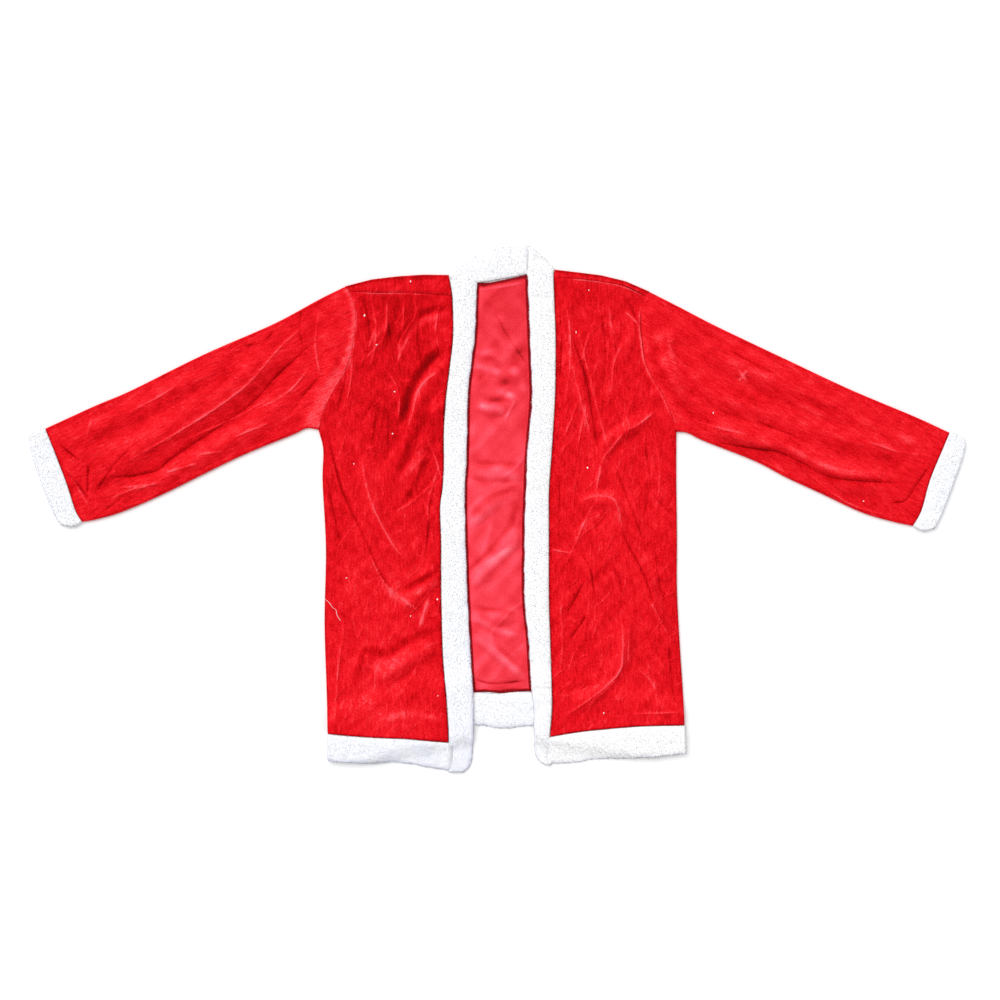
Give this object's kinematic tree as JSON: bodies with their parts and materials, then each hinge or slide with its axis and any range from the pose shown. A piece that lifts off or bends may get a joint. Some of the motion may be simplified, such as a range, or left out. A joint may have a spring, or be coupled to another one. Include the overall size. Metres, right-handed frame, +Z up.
{
  "type": "santa suit jacket",
  "caption": "Open-fronted red velour costume jacket with white plush bands, laid flat and face up with its sleeves spread.",
  "frame": {"origin": "on the surface under the middle of the laid-out jacket", "axes": "+X towards the end of the wearer's left sleeve, +Y towards the neck, +Z up, away from the surface the jacket lies on"},
  "size_m": [1.4068, 0.7892, 0.0148],
  "materials": {
    "red_velour": "crushed velour with a soft nap",
    "white_plush": "long-pile white plush"
  },
  "bodies": {
    "root": {"back": "red_velour", "front_right": "red_velour", "front_left": "red_velour", "sleeve_right": "red_velour", "sleeve_left": "red_velour", "cuff_right": "white_plush", "cuff_left": "white_plush", "band_right": "white_plush", "band_left": "white_plush", "neck_band": "white_plush", "hem_right": "white_plush", "hem_left": "white_plush", "hem_back": "white_plush"}
  },
  "joints": []
}
